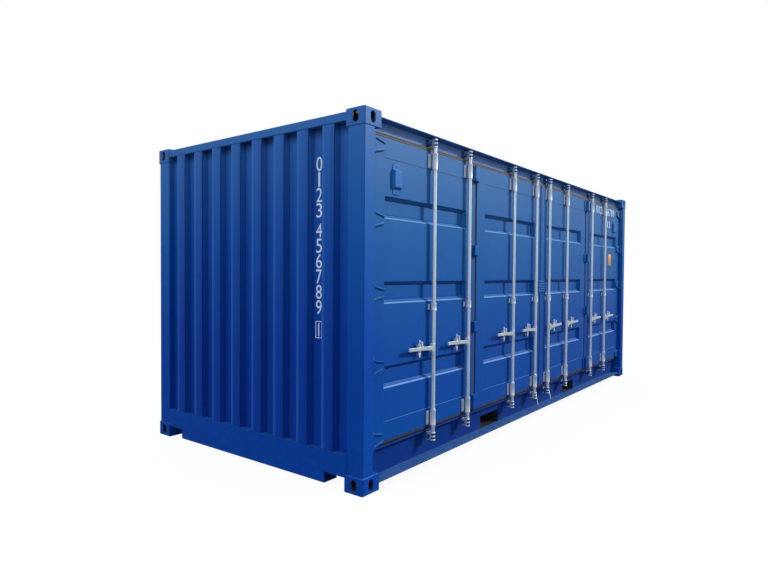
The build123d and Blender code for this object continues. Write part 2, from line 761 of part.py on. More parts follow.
def handle():
    """Hub on the rod, bar with its grip, and the curved arm with the eye for a seal."""
    y = (HANDLE_FRONT - ROD_DEPTH, HANDLE_FRONT - ROD_DEPTH + HANDLE_THICK)
    hub = block((-HUB_REACH, 0), (y[0], y[0] + HUB_DEPTH), about(HUB_Z, HUB_HEIGHT))
    slot = -HUB_REACH + HUB_SLOT_INSET
    hub -= block((slot, slot + HUB_SLOT), y, about(HUB_Z, HUB_HEIGHT))
    grip_z = HUB_Z + HANDLE_RISE
    bend_z = HUB_Z + HANDLE_RISE / 2
    bend_half = (HANDLE_HALF + GRIP_HALF) / 2
    bar = [
        (-HUB_REACH, HUB_Z - HANDLE_HALF),
        (-HUB_REACH, HUB_Z + HANDLE_HALF),
        (-HANDLE_BEND, bend_z + bend_half),
        (-HANDLE_LENGTH, grip_z + GRIP_HALF),
        (-HANDLE_LENGTH, grip_z - GRIP_HALF),
        (-HANDLE_BEND, bend_z - bend_half),
    ]
    arm_centre = (SEAL_ARM_Z - RETAINER_X, HUB_Z + SEAL_ARM_Z)
    arm = arc(arm_centre, SEAL_ARM_Z + SEAL_ARM_WIDTH / 2, 180, 270)
    arm += arc(arm_centre, SEAL_ARM_Z - SEAL_ARM_WIDTH / 2, 270, 180)
    eye = Pos(-RETAINER_X, HUB_Z + SEAL_ARM_Z)
    plates = along_y(outline(bar), *y) + along_y(outline(arm), *y) + along_y(eye * round_bar(SEAL_EYE_R), *y)
    return hub + plates - along_y(eye * small_hole(SEAL_HOLE_R), *y)


def lock_rod():
    """A lock rod about its own axis, with two cams and a handle towards -X."""
    bar = standing(round_bar(ROD_R, ROD_SIDES), LOWER_CAM - CAM_HEIGHT / 2, UPPER_CAM + CAM_HEIGHT / 2)
    return bar + cam(LOWER_CAM) + cam(UPPER_CAM) + handle()


def rod_places():
    """X of each rod, left to right. Rods right of the middle are mirrored."""
    left = [
        OUTER_LEAF[0] + ROD_FROM_POST,
        OUTER_LEAF[1] - ROD_BEFORE_FOLD,
        INNER_LEAF[0] + ROD_AFTER_FOLD,
        INNER_LEAF[1] - ROD_FROM_CENTRE,
    ]
    return left + [-x for x in reversed(left)]


def at_rods(shape):
    """A shape made at a left rod, repeated at all eight rods."""
    placed = []
    for x in rod_places():
        turned = shape if x < 0 else flip_x(shape)
        placed.append(Pos(x, ROD_Y, 0) * turned)
    return placed


def keeper(middle, web):
    """Plate, tongue and upright bar that hold one cam. Web is its distance from the rod."""
    body = block((-KEEPER_HALF, KEEPER_HALF), (web - KEEPER_PLATE, web), about(0, KEEPER_HEIGHT))
    body += block(KEEPER_TONGUE, (KEEPER_TONGUE_FRONT, web), about(0, KEEPER_TONGUE_HEIGHT))
    body += block(KEEPER_BAR, KEEPER_BAR_V, about(0, CAM_HEIGHT))
    return Pos(0, 0, middle) * body


def bearing(middle, height, flange, radius):
    """Sleeve round a rod, on a saddle and a flange against the leaf."""
    wall = DOOR_FACE - ROD_Y
    z = about(middle, height)
    plate_z = about(middle, height - 2 * BEARING_FLANGE_MARGIN)
    body = block((-flange, flange), (wall - BEARING_PLATE, wall), plate_z)
    body += block((-SADDLE_HALF, SADDLE_HALF), (0, wall), plate_z)
    body += standing(round_bar(radius), *z)
    return body - standing(round_bore(ROD_R + ROD_FIT), *z)


def lens(width, height, tip):
    """An eye-shaped outline with blunt ends."""
    bulge = (width - tip) / 2
    radius = ((height / 2) ** 2 + bulge**2) / (2 * bulge)
    sweep = degrees(asin(height / 2 / radius))
    shift = width / 2 - radius
    right = arc((shift, 0), radius, -sweep, sweep)
    return outline(right + arc((-shift, 0), radius, 180 - sweep, 180 + sweep))


def handle_retainer():
    """Eye-shaped plate on two webs behind the handle, with a hole above it and one below."""
    wall = DOOR_FACE - ROD_Y
    front = wall - RETAINER_STAND - RETAINER_PLATE
    body = along_y(lens(RETAINER_WIDTH, RETAINER_HEIGHT, RETAINER_TIP), front, front + RETAINER_PLATE)
    for web_z in RETAINER_WEBS:
        body += block(about(0, RETAINER_WEB), (front, wall), web_z)
    for z in (HUB_Z + SEAL_ARM_Z, HUB_Z - RETAINER_HOLE_DROP):
        hole = Pos(0, z - RETAINER_Z) * small_hole(RETAINER_HOLE_R)
        body -= along_y(hole, front, front + RETAINER_PLATE)
    return Pos(-RETAINER_X, 0, RETAINER_Z) * body


def vent():
    """Moulded vent cover with a fixing tab above and below."""
    x = OUTER_LEAF[0] + VENT_FROM_POST
    z = LEAF_TOP - VENT_DROP
    cover = tapered_pan(
        about(0, VENT_WIDTH), about(0, VENT_HEIGHT), (VENT_SIDE_SLOPE, VENT_END_SLOPE), VENT_DEPTH
    )
    cover = Pos(x, DOOR_FACE, z) * Rot(-90, 0, 0) * cover
    tab_x = about(x, VENT_WIDTH - 2 * VENT_TAB_INSET)
    return cover + block(tab_x, (DOOR_FACE - VENT_TAB_PLATE, DOOR_FACE), about(z, VENT_HEIGHT + 2 * VENT_TAB))


def overlap_plate():
    """Ribbed plate over the gap between the two middle leaves."""
    x = about(OVERLAP_X, OVERLAP_WIDTH)
    middle = (LEAF_BOTTOM + LEAF_TOP) / 2 - OVERLAP_DROP
    front = DOOR_FACE - OVERLAP_PLATE
    body = block(x, (front, DOOR_FACE), about(middle, OVERLAP_HEIGHT))
    for place in spaced(OVERLAP_RIBS, OVERLAP_RIB_PITCH):
        body += block(x, (front - OVERLAP_RIB_DEPTH, front), about(middle + place, OVERLAP_RIB))
    return body


def build():
    """Every piece by its node name."""
    nodes = {}
    nodes["top_castings"], nodes["bottom_castings"] = corner_castings()
    door_post = corner_post(DOOR_POST_Y, DOOR_POST_IN - DOOR_POST_Y / 2)
    back_post = corner_post(BACK_POST_Y, BACK_POST_IN + BACK_POST_Y / 2)
    nodes["left_door_post"] = door_post
    nodes["right_door_post"] = flip_x(door_post)
    nodes["left_back_post"] = back_post
    nodes["right_back_post"] = flip_x(back_post)
    nodes["door_sill"] = door_sill()
    nodes["back_bottom_rail"] = back_bottom_rail()
    nodes["left_end_sill"] = end_sill()
    nodes["right_end_sill"] = flip_x(nodes["left_end_sill"])
    nodes["door_header"] = door_header()
    nodes["back_top_rail"] = back_top_rail()
    nodes["left_end_header"] = end_header()
    nodes["right_end_header"] = flip_x(nodes["left_end_header"])
    nodes["left_end_wall"] = end_wall()
    nodes["right_end_wall"] = flip_x(nodes["left_end_wall"])
    nodes["back_wall"] = back_wall()
    nodes["roof_panel"] = roof_panel()
    nodes["floor_boards"] = floor_boards()
    nodes["cross_members"] = cross_members()
    nodes["fork_pockets"] = fork_pockets()
    nodes["door_leaf_1"] = door_leaf(OUTER_LEAF)
    nodes["door_leaf_2"] = door_leaf(INNER_LEAF)
    nodes["door_leaf_3"] = flip_x(nodes["door_leaf_2"])
    nodes["door_leaf_4"] = flip_x(nodes["door_leaf_1"])
    nodes["upright_seals"] = door_seals()
    nodes["lower_seal"] = seal_band(SILL_TOP + SILL_STEP, LEAF_BOTTOM)
    nodes["upper_seal"] = seal_band(LEAF_TOP, LEAF_TOP + SEAL_HEAD_HEIGHT)
    nodes["left_post_hinges"] = post_hinges()
    nodes["right_post_hinges"] = flip_x(nodes["left_post_hinges"])
    nodes["left_fold_hinges"] = fold_hinges()
    nodes["right_fold_hinges"] = flip_x(nodes["left_fold_hinges"])
    for i, rod in enumerate(at_rods(lock_rod())):
        nodes[f"lock_rod_{i + 1}"] = rod
    upper = bearing(LEAF_TOP - BEARING_HEAD_DROP, BEARING_HEIGHT, BEARING_FLANGE, BEARING_R)
    lower = bearing(LEAF_BOTTOM + BEARING_FOOT_RISE, BEARING_HEIGHT, BEARING_FLANGE, BEARING_R)
    nodes["upper_bearings"] = many(at_rods(upper))
    nodes["lower_bearings"] = many(at_rods(lower))
    guide = bearing(LEAF_BOTTOM + GUIDE_RISE, GUIDE_HEIGHT, GUIDE_FLANGE, GUIDE_R)
    nodes["middle_guides"] = many(at_rods(guide))
    nodes["upper_keepers"] = many(at_rods(keeper(UPPER_CAM, HEADER_WEB - ROD_Y)))
    nodes["lower_keepers"] = many(at_rods(keeper(LOWER_CAM, SILL_WEB - ROD_Y)))
    nodes["handle_retainers"] = many(at_rods(handle_retainer()))
    nodes["vents"] = many([vent(), flip_x(vent())])
    nodes["overlap_plate"] = overlap_plate()
    return nodes


os.makedirs("parts", exist_ok=True)
for name, shape in build().items():
    export_step(shape, f"parts/{name}.step")
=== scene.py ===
import json
import math

import bmesh
import bpy
from mathutils import Matrix, Vector

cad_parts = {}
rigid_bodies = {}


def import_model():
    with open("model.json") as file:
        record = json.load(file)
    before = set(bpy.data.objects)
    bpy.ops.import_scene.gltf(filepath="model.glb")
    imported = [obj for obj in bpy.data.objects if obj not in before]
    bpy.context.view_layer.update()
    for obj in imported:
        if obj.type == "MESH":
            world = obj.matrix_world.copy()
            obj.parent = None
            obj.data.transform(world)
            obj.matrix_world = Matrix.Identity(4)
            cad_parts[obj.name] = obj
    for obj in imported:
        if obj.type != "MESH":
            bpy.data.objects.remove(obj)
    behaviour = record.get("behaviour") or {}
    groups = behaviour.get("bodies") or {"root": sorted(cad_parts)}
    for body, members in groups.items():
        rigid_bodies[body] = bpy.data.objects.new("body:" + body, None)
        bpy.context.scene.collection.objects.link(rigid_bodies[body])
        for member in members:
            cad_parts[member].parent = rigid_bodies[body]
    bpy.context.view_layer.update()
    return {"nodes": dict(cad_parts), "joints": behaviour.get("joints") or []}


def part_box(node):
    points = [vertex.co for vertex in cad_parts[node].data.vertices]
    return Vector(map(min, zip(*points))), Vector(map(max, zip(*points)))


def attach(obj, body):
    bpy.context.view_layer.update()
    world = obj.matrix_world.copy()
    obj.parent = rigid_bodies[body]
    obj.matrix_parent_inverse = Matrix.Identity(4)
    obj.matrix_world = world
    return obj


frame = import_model()
nodes = frame["nodes"]
scene = bpy.context.scene
scene.view_settings.view_transform = "Standard"

# Viewpoint
# The camera stands off the near door corner, at eye height, and looks along the doors. Its
# place and aim come from the corner castings as the photograph shows them.
PHOTO_WIDTH = 768
FOCAL_PIXELS = 576.2
SENSOR_WIDTH = 36.0
EYE = Vector((-5.940, -3.642, 1.4905))
AIM_RIGHT = math.radians(52.246)
AIM_UP = math.radians(-1.451)
ROLL = math.radians(0.394)

camera_data = bpy.data.cameras.new("camera")
camera_data.sensor_width = SENSOR_WIDTH
camera_data.lens = FOCAL_PIXELS * SENSOR_WIDTH / PHOTO_WIDTH
camera = bpy.data.objects.new("camera", camera_data)
aim = Matrix.Rotation(-AIM_RIGHT, 4, "Z") @ Matrix.Rotation(math.pi / 2 + AIM_UP, 4, "X")
camera.matrix_world = Matrix.Translation(EYE) @ aim @ Matrix.Rotation(ROLL, 4, "Z")
scene.collection.objects.link(camera)
scene.camera = camera


# Studio
# Soft daylight from the right of the doors, a pale sheet underfoot and a white surround.
# The floor keeps a faint shadow where the castings stand on it.
class Wire:
    """One output of a shader tree. Sums on it add Math nodes."""

    def __init__(self, tree, socket=None):
        self.tree = tree
        self.socket = socket

    def node(self, kind, settings=(), inputs=(), output=0):
        """Adds a node, sets it, fills its sockets and gives back one of its outputs."""
        made = self.tree.nodes.new(kind)
        for name, value in dict(settings).items():
            setattr(made, name, value)
        for name, value in dict(inputs).items():
            if isinstance(value, Wire):
                self.tree.links.new(value.socket, made.inputs[name])
            else:
                made.inputs[name].default_value = value
        return Wire(self.tree, made.outputs[output]) if made.outputs else None

    def math(self, operation, *others):
        """A sum of this and other numbers, by its name."""
        values = dict(enumerate([self, *others]))
        return self.node("ShaderNodeMath", {"operation": operation}, values)

    def __add__(self, other):
        return self.math("ADD", other)

    def __sub__(self, other):
        return self.math("SUBTRACT", other)

    def __mul__(self, other):
        return self.math("MULTIPLY", other)

    def __rsub__(self, other):
        return (self * -1.0) + other

    __radd__ = __add__
    __rmul__ = __mul__

    def stretched(self, x, y, z):
        """A place with its axes multiplied, so that a pattern is long or short along them."""
        return self.node("ShaderNodeVectorMath", {"operation": "MULTIPLY"}, {0: self, 1: (x, y, z)})

    def along(self, axis):
        """One axis of a place or a direction."""
        return self.node("ShaderNodeSeparateXYZ", (), {0: self}, output=axis)

    def size(self):
        """The same number without its sign."""
        return self.math("ABSOLUTE")

    def between(self, low, high):
        """0 below low, 1 above high, and smooth between them."""
        limits = {"Value": self, "From Min": low, "From Max": high}
        return self.node("ShaderNodeMapRange", {"interpolation_type": "SMOOTHSTEP"}, limits)

    def mix(self, first, second):
        """The first colour where this is 0 and the second where it is 1."""
        return self.node("ShaderNodeMix", {"data_type": "RGBA"}, {0: self, 6: first, 7: second}, output=2)


def ink(red, green, blue):
    """A colour written 0 to 255, as the linear value that a shader takes."""
    levels = [c / 255 for c in (red, green, blue)]
    return (*[c / 12.92 if c < 0.04 else ((c + 0.055) / 1.055) ** 2.4 for c in levels], 1.0)


WHITE = (1.0, 1.0, 1.0, 1.0)
SKY = ink(224, 232, 244)
SKY_STRENGTH = 0.58
SUN_STRENGTH = 2.9
SUN_SPREAD = math.radians(11)
SUN_FROM = Vector((0.77, -0.62, 0.52))
FILL_STRENGTH = 1.20
FILL_SPREAD = math.radians(70)
FILL_COLOUR = (0.72, 0.83, 1.0)
FILL_FROM = Vector((-0.93, -0.12, 0.38))
FLOOR_COLOUR = ink(138, 141, 146)
FLOOR_SEEN = ink(238, 239, 241)
FLOOR_SIZE = 60.0
FLOOR_GLOW = 0.80
FLOOR_WHITE = 1.15
GLOSSY_SHARE = 0.35

world = bpy.data.worlds.new("surround")
world.use_nodes = True
scene.world = world
surround = Wire(world.node_tree)
world.node_tree.nodes.clear()
rays = surround.node("ShaderNodeLightPath", output="Is Camera Ray")
glossy = Wire(world.node_tree, rays.socket.node.outputs["Is Glossy Ray"])
seen = rays.math("MAXIMUM", glossy * GLOSSY_SHARE)
daylight = surround.node("ShaderNodeBackground", (), {"Color": SKY, "Strength": SKY_STRENGTH})
backdrop = surround.node("ShaderNodeBackground", (), {"Color": WHITE, "Strength": 1.0})
shown = surround.node("ShaderNodeMixShader", (), {0: seen, 1: daylight, 2: backdrop})
surround.node("ShaderNodeOutputWorld", (), {"Surface": shown})


def sunlight(name, strength, spread, direction):
    """Parallel light from one side of the sky."""
    data = bpy.data.lights.new(name, "SUN")
    data.energy = strength
    data.angle = spread
    light = bpy.data.objects.new(name, data)
    light.rotation_euler = direction.to_track_quat("Z", "Y").to_euler()
    scene.collection.objects.link(light)
    return light


sun = sunlight("sun", SUN_STRENGTH, SUN_SPREAD, SUN_FROM)
fill = sunlight("fill", FILL_STRENGTH, FILL_SPREAD, FILL_FROM)
fill.data.color = FILL_COLOUR

sheet = bmesh.new()
bmesh.ops.create_grid(sheet, x_segments=1, y_segments=1, size=FLOOR_SIZE / 2)
floor_mesh = bpy.data.meshes.new("studio_floor")
sheet.to_mesh(floor_mesh)
sheet.free()
studio_floor = bpy.data.objects.new("studio_floor", floor_mesh)
scene.collection.objects.link(studio_floor)

floor_material = bpy.data.materials.new("studio_floor")
floor_material.use_nodes = True
floor_material.node_tree.nodes.clear()
ground = Wire(floor_material.node_tree)
camera_ray = ground.node("ShaderNodeLightPath", output="Is Camera Ray")
matt = ground.node("ShaderNodeBsdfDiffuse", (), {"Color": camera_ray.mix(FLOOR_COLOUR, FLOOR_SEEN)})
glow = ground.node("ShaderNodeEmission", (), {"Color": WHITE, "Strength": FLOOR_WHITE})
lit = ground.node("ShaderNodeMixShader", (), {0: camera_ray * FLOOR_GLOW, 1: matt, 2: glow})
ground.node("ShaderNodeOutputMaterial", (), {"Surface": lit})
floor_mesh.materials.append(floor_material)


# Steel frame
# Posts, rails, sills and headers of folded and rolled steel, welded into a box. The factory
# sprayed blue is a little paler towards the roof and holds a film of road dust low down.
# Faces that look up are painted paler, partly as settled dust and partly as painted light.
def new_material(name):
    """An empty material and the place on the object that its patterns follow."""
    material = bpy.data.materials.new(name)
    material.use_nodes = True
    material.node_tree.nodes.clear()
    return material, Wire(material.node_tree).node("ShaderNodeTexCoord", output="Object")


def noise(place, scale, detail=3.0, rough=0.55):
    """Cloudy values about 0.5."""
    inputs = {"Vector": place, "Scale": scale, "Detail": detail, "Roughness": rough}
    return place.node("ShaderNodeTexNoise", (), inputs, output="Fac")


def bump(height, strength, distance, soft_edge=0.0):
    """A surface normal from a height, over bends and edges rounded to a radius."""
    inputs = {"Height": height, "Strength": strength, "Distance": distance}
    if soft_edge:
        inputs["Normal"] = height.node("ShaderNodeBevel", {"samples": 6}, {"Radius": soft_edge})
    return height.node("ShaderNodeBump", (), inputs)


def finish_material(start, **inputs):
    """Ends the nodes with one shader."""
    sockets = {name.replace("_", " "): value for name, value in inputs.items()}
    shader = start.node("ShaderNodeBsdfPrincipled", (), sockets)
    start.node("ShaderNodeOutputMaterial", (), {"Surface": shader})


def upward(place):
    """1 on faces that look up, 0 on walls."""
    return place.node("ShaderNodeNewGeometry", output="Normal").along(2).between(0.5, 0.95)


FRAME_TONES = (ink(0, 70, 163), ink(6, 92, 171), ink(62, 117, 181))
DUST_AND_LIGHT = ink(84, 134, 186)
NAVY = ink(8, 30, 84)
SHADE_HIGH = ink(56, 104, 170)
SHADE_LOW = ink(0, 54, 144)


def paint(name, tones, dust=0.10, soft_edge=0.008, top_dust_and_light=0.30, extra=None):
    """Blue enamel. Its three tones are at the foot, over the middle and at the roof."""
    material, place = new_material(name)
    height = place.along(2)
    drift = height + noise(place, 1.1) * 0.3 - 0.15
    fade = drift.between(1.6, 2.9)
    colour = fade.mix(drift.between(0.7, 2.0).mix(tones[0], tones[1]), tones[2])
    patch = noise(place, 4.0).between(0.45, 0.75)
    colour = (patch * 0.16).mix(colour, fade.mix(SHADE_LOW, SHADE_HIGH))
    runs = noise(place.stretched(34.0, 34.0, 0.9), 1.0, 4.0).between(0.55, 0.85)
    colour = (runs * 0.10).mix(colour, NAVY)
    dust_film_and_valley_shade = noise(place, 22.0, 6.0).between(0.45, 0.82) * (1.0 - height.between(0.06, 0.55))
    colour = (dust_film_and_valley_shade * dust).mix(colour, DUST_AND_LIGHT)
    # Faces that look up are painted paler: partly settled dust, partly painted light from above.
    dust_and_top_light = noise(place, 14.0, 5.0).between(-0.4, 1.0) * upward(place)
    colour = (dust_and_top_light * top_dust_and_light).mix(colour, DUST_AND_LIGHT)
    if extra:
        colour = extra(place, colour)
    peel = noise(place, 420.0, 2.0) * 0.6 + noise(place, 7.0) * 1.1
    gloss = noise(place, 30.0).between(0.3, 0.8) * 0.10 + dust_film_and_valley_shade * 0.2 + dust_and_top_light * 0.2 + 0.42
    normal = bump(peel, 0.16, 0.002, soft_edge)
    finish_material(place, Base_Color=colour, Roughness=gloss, Specular_IOR_Level=0.12, Normal=normal)
    return material


def dress(material, *names):
    """Gives CAD pieces their finish."""
    for name in names:
        nodes[name].data.materials.clear()
        nodes[name].data.materials.append(material)


frame_paint = paint("frame_paint", FRAME_TONES)
dress(frame_paint, "left_door_post", "right_door_post", "left_back_post", "right_back_post")
dress(frame_paint, "back_bottom_rail", "left_end_sill", "right_end_sill")
dress(frame_paint, "back_top_rail", "left_end_header", "right_end_header")


# Corner castings
# Cast steel boxes welded on the post ends, sprayed with the frame. Paint doesn't reach the
# inside, which stays a dark rusty brown where a hook or a lock has rubbed.
CAST_IN_X = (2.855, 3.021)
CAST_IN_Y = (1.061, 1.211)
CAST_IN_Z = ((0.008, 0.1165), (2.4745, 2.583))
RUST = ink(104, 74, 82)
RUST_DARK = ink(56, 44, 60)


def within(value, low, high):
    """1 between two values, 0 outside."""
    return value.math("GREATER_THAN", low) * value.math("LESS_THAN", high)


def bare_inside(place, colour):
    """The unpainted inside of a casting over its painted outside."""
    hidden = within(place.along(0).size(), *CAST_IN_X) * within(place.along(1).size(), *CAST_IN_Y)
    hidden = hidden * (within(place.along(2), *CAST_IN_Z[0]) + within(place.along(2), *CAST_IN_Z[1]))
    rust = noise(place, 60.0, 5.0).between(0.35, 0.7).mix(RUST_DARK, RUST)
    return hidden.mix(colour, rust)


casting_paint = paint("casting_paint", FRAME_TONES, soft_edge=0.006, extra=bare_inside)
dress(casting_paint, "top_castings", "bottom_castings")


# Welds of the frame
# Each casting is welded all round to the end of its post. The bead is a low rounded ridge with
# fine ripples, painted over with the frame.
CREASE = math.radians(35)


def span(name, axis):
    """Where a CAD piece starts and ends along one axis."""
    low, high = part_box(name)
    return low[axis], high[axis]


def slab(work, x, y, z, edge=0.0):
    """Adds a plate between two places on each axis, with its edges eased."""
    low = Vector((min(x), min(y), min(z)))
    high = Vector((max(x), max(y), max(z)))
    place = Matrix.Translation((low + high) / 2) @ Matrix.Diagonal((*(high - low), 1.0))
    made = bmesh.ops.create_cube(work, size=1.0, matrix=place)
    if edge:
        edges = list({line for corner in made["verts"] for line in corner.link_edges})
        bmesh.ops.bevel(
            work,
            geom=edges,
            offset=edge,
            offset_type="OFFSET",
            affect="EDGES",
            segments=2,
            profile=0.5,
            material=-1,
        )


def piece(name, body, material, work):
    """Ends a mesh, gives it a slot with its material and lets it ride one body of the frame."""
    bmesh.ops.recalc_face_normals(work, faces=work.faces)
    mesh = bpy.data.meshes.new(name)
    work.to_mesh(mesh)
    work.free()
    mesh.shade_smooth()
    mesh.set_sharp_from_angle(angle=CREASE)
    mesh.materials.append(material)
    made = bpy.data.objects.new(name, mesh)
    scene.collection.objects.link(made)
    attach(made, body)


POST_WIDTHS = (span("right_door_post", 0), span("left_door_post", 0))
POST_DEPTHS = (span("left_door_post", 1), span("left_back_post", 1))
POST_ENDS = (span("bottom_castings", 2)[1], span("top_castings", 2)[0])
BEAD = 0.006
BEAD_EDGE = 0.0015
BEAD_RISE_X = 0.001
BEAD_RISE_Y = 0.002
LIT_WELD_TONE = ink(66, 122, 196)
SHADED_WELD_TONE = ink(44, 84, 146)

weld_material, place = new_material("painted_weld")
bands = {"wave_type": "BANDS", "bands_direction": "DIAGONAL"}
waves = {"Vector": place, "Scale": 60.0, "Distortion": 1.5}
ripple = place.node("ShaderNodeTexWave", bands, waves, output="Fac")
# The bead is a painted highlight low down and painted shade high up, with darker ripples.
weld_colour = place.along(2).between(0.7, 2.2).mix(LIT_WELD_TONE, SHADED_WELD_TONE)
weld_colour = (ripple * 0.12).mix(weld_colour, NAVY)
finish_material(
    place,
    Base_Color=weld_colour,
    Roughness=ripple * 0.1 + 0.45,
    Specular_IOR_Level=0.3,
    Normal=bump(ripple, 0.5, 0.002),
)

work = bmesh.new()
for left, right in POST_WIDTHS:
    for front, back in POST_DEPTHS:
        for z in POST_ENDS:
            x = (left - BEAD_RISE_X, right + BEAD_RISE_X)
            y = (front - BEAD_RISE_Y, back + BEAD_RISE_Y)
            slab(work, x, y, (z - BEAD / 2, z + BEAD / 2), BEAD_EDGE)
piece("casting_welds", "container", weld_material, work)


# Door header
# A folded channel over the doors, with a rain lip along its front. The web under the lip is
# painted a lighter blue, as painted light where the lip's shadow falls.
HEADER_WEB_Y = (-1.14, -1.13)
HEADER_WEB_Z = (2.474, 2.545)
PAINTED_LIGHT_WEB_TONE = ink(126, 166, 222)


def painted_light_under_lip(place, colour):
    """The web of the header is painted lighter, as painted light in the lip's shadow."""
    web = within(place.along(2), *HEADER_WEB_Z) * within(place.along(1), *HEADER_WEB_Y)
    return web.mix(colour, PAINTED_LIGHT_WEB_TONE)


header_paint = paint("header_paint", FRAME_TONES, extra=painted_light_under_lip)
dress(header_paint, "door_header")


# Door sill
# A folded channel under the doors, with an outward foot, a ledge for the lower keepers and two
# fork pockets. It is painted a darker blue than the posts, as painted shade under the leaves, and
# its foot is painted paler, partly as settled dust and partly as painted light.
SHADED_SILL_TONES = (ink(0, 50, 126), ink(16, 92, 164), ink(66, 118, 174))

sill_paint = paint("sill_paint", SHADED_SILL_TONES, dust=0.02, top_dust_and_light=0.55)
dress(sill_paint, "door_sill")


# End walls
# Folded sheet with eight upright ribs, welded into the frame all round. Its tones are a deeper
# copy of the door blue, as painted shade. Painted shade darkens the valley beside each rib and
# under the header, and a painted highlight runs down the other side of each rib.
SHADED_WALL_TONES = (ink(0, 62, 158), ink(10, 82, 170), ink(54, 114, 182))
WALL_Y = span("left_end_wall", 1)
RIB_COUNT = 8
RIB_PITCH = 0.252
FIRST_RIB = sum(WALL_Y) / 2 - RIB_PITCH * (RIB_COUNT - 1) / 2
HEADER_SHADOW_Z = (2.42, 2.50)
CREST_HIGHLIGHT = ink(84, 146, 214)


def painted_rib_shading(place, colour):
    """Painted shade on the end walls beside each rib and under the header, and a painted
    highlight on the rib's other side."""
    share = ((place.along(1) - FIRST_RIB) * (1.0 / RIB_PITCH)).math("FRACT")
    dust_film_and_valley_shade = share.between(0.28, 0.78) * (1.0 - share.between(0.79, 0.98))
    colour = (dust_film_and_valley_shade * 0.24).mix(colour, NAVY)
    painted_crest_highlight = share.between(0.08, 0.20) * (1.0 - share.between(0.21, 0.26))
    colour = (painted_crest_highlight * 0.26).mix(colour, CREST_HIGHLIGHT)
    painted_header_shadow = place.along(2).between(*HEADER_SHADOW_Z) * within(share, 0.25, 0.77)
    return (painted_header_shadow * 0.70).mix(colour, NAVY)


end_paint = paint("end_paint", SHADED_WALL_TONES, extra=painted_rib_shading)
dress(end_paint, "left_end_wall", "right_end_wall")


# Back wall and roof
# The back wall is folded like the ends, with wider ribs, and the roof is pressed into a row of
# shallow pans. Both are sprayed with the blue of the doors.
PAINT_TONES = (ink(0, 73, 156), ink(12, 96, 164), ink(66, 120, 174))

wall_paint = paint("wall_paint", PAINT_TONES)
dress(wall_paint, "back_wall", "roof_panel")


# Underside and floor
# Cross members and fork tunnels are dipped in black bitumen that dries in paler runs. The
# floor is laid in plywood sheets with a dark oiled face.
BITUMEN = ink(16, 18, 26)
BITUMEN_PALE = ink(40, 40, 46)
PLY_DARK = ink(104, 66, 40)
PLY_LIGHT = ink(150, 104, 66)
PLY_KNOT = ink(66, 38, 24)
SEAM = (0.496, 0.504)
SEAM_DARK = ink(28, 18, 14)

underseal, place = new_material("underseal")
drips = noise(place.stretched(12.0, 12.0, 3.0), 1.0, 5.0)
finish_material(
    place,
    Base_Color=drips.between(0.35, 0.75).mix(BITUMEN, BITUMEN_PALE),
    Roughness=drips * 0.2 + 0.55,
    Normal=bump(drips, 0.3, 0.004),
)
dress(underseal, "cross_members", "fork_pockets")

plywood, place = new_material("plywood")
grain = noise(place.stretched(1.6, 30.0, 30.0), 1.0, 6.0, 0.65)
knots = noise(place, 3.0, 2.0).between(0.62, 0.72)
board = grain.between(0.3, 0.75).mix(PLY_DARK, PLY_LIGHT)
board = (knots * 0.5).mix(board, PLY_KNOT)
seams = within(place.along(0).math("FRACT"), *SEAM)
board = (seams * 0.9).mix(board, SEAM_DARK)
board_normal = bump(grain - seams, 0.25, 0.002)
finish_material(place, Base_Color=board, Roughness=grain * 0.2 + 0.5, Normal=board_normal)
dress(plywood, "floor_boards")


# Pressed leaves
# Each leaf is a frame of square tube with one pressed sheet let in flush. The sheet is welded
# in from the front, and the bead shows as a fine line over and under the panel.
DOOR_FACE = span("door_leaf_1", 1)[0]
BEND_HIGHLIGHT_DEPTH = (-0.001, 0.009)
BEND_HIGHLIGHT = ink(140, 186, 232)
LEAVES = [span(f"door_leaf_{number}", 0) for number in (1, 2, 3, 4)]
LEAF_LOW_Z, LEAF_HIGH_Z = span("door_leaf_1", 2)
STILE = 0.146
RAIL_BAND = 0.137
LINE = 0.005
LINE_RISE = 0.0022
LINE_ROOT = 0.001
LINE_EDGE = 0.001


def painted_bend_highlight(place, colour):
    """A painted highlight along the bend at the foot of each pan, where its lower slope meets the face."""
    start, end = BEND_HIGHLIGHT_DEPTH
    bend = upward(place) * within(place.along(1), DOOR_FACE + start, DOOR_FACE + end)
    return (bend * 1.3).math("MINIMUM", 1.0).mix(colour, BEND_HIGHLIGHT)


leaf_paint = paint("leaf_paint", PAINT_TONES, top_dust_and_light=0.60, extra=painted_bend_highlight)
dress(leaf_paint, "door_leaf_1", "door_leaf_2", "door_leaf_3", "door_leaf_4", "overlap_plate")

work = bmesh.new()
for left, right in LEAVES:
    for z in (LEAF_LOW_Z + RAIL_BAND, LEAF_HIGH_Z - RAIL_BAND):
        depth = (DOOR_FACE - LINE_RISE, DOOR_FACE + LINE_ROOT)
        slab(work, (left + STILE, right - STILE), depth, (z - LINE / 2, z + LINE / 2), LINE_EDGE)
piece("leaf_welds", "container", weld_material, work)


